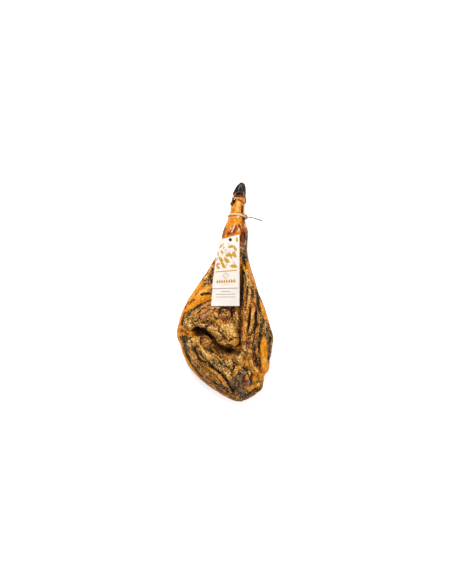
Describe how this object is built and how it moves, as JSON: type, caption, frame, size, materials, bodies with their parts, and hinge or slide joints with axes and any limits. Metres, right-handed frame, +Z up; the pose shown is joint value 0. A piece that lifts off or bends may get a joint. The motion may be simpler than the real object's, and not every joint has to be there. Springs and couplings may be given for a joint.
{
  "type": "cured ham",
  "caption": "Whole cured ham on the bone with its hoof, cut face up, with a cord round the ankle and a pinned card tag.",
  "frame": {"origin": "under the middle of the ham, on the surface it lies on", "axes": "+Y along the leg towards the hoof, +Z up out of the cut face, +X to the right seen from above"},
  "size_m": [0.3416, 0.7795, 0.1331],
  "materials": {
    "meat": "uneven, waxy fat and dry crust",
    "horn": "glossy dark horn",
    "cord": "matt twisted twine",
    "card": "matt off-white card",
    "stud": "black, half glossy"
  },
  "bodies": {
    "root": {"leg": "meat", "hoof_claw_left": "horn", "hoof_claw_right": "horn", "dewclaw_left": "horn", "dewclaw_right": "horn", "ankle_cord": "cord", "cord_end": "cord", "tag_back_leaf": "card", "tag_front_leaf": "card", "tag_stud": "stud"}
  },
  "joints": []
}
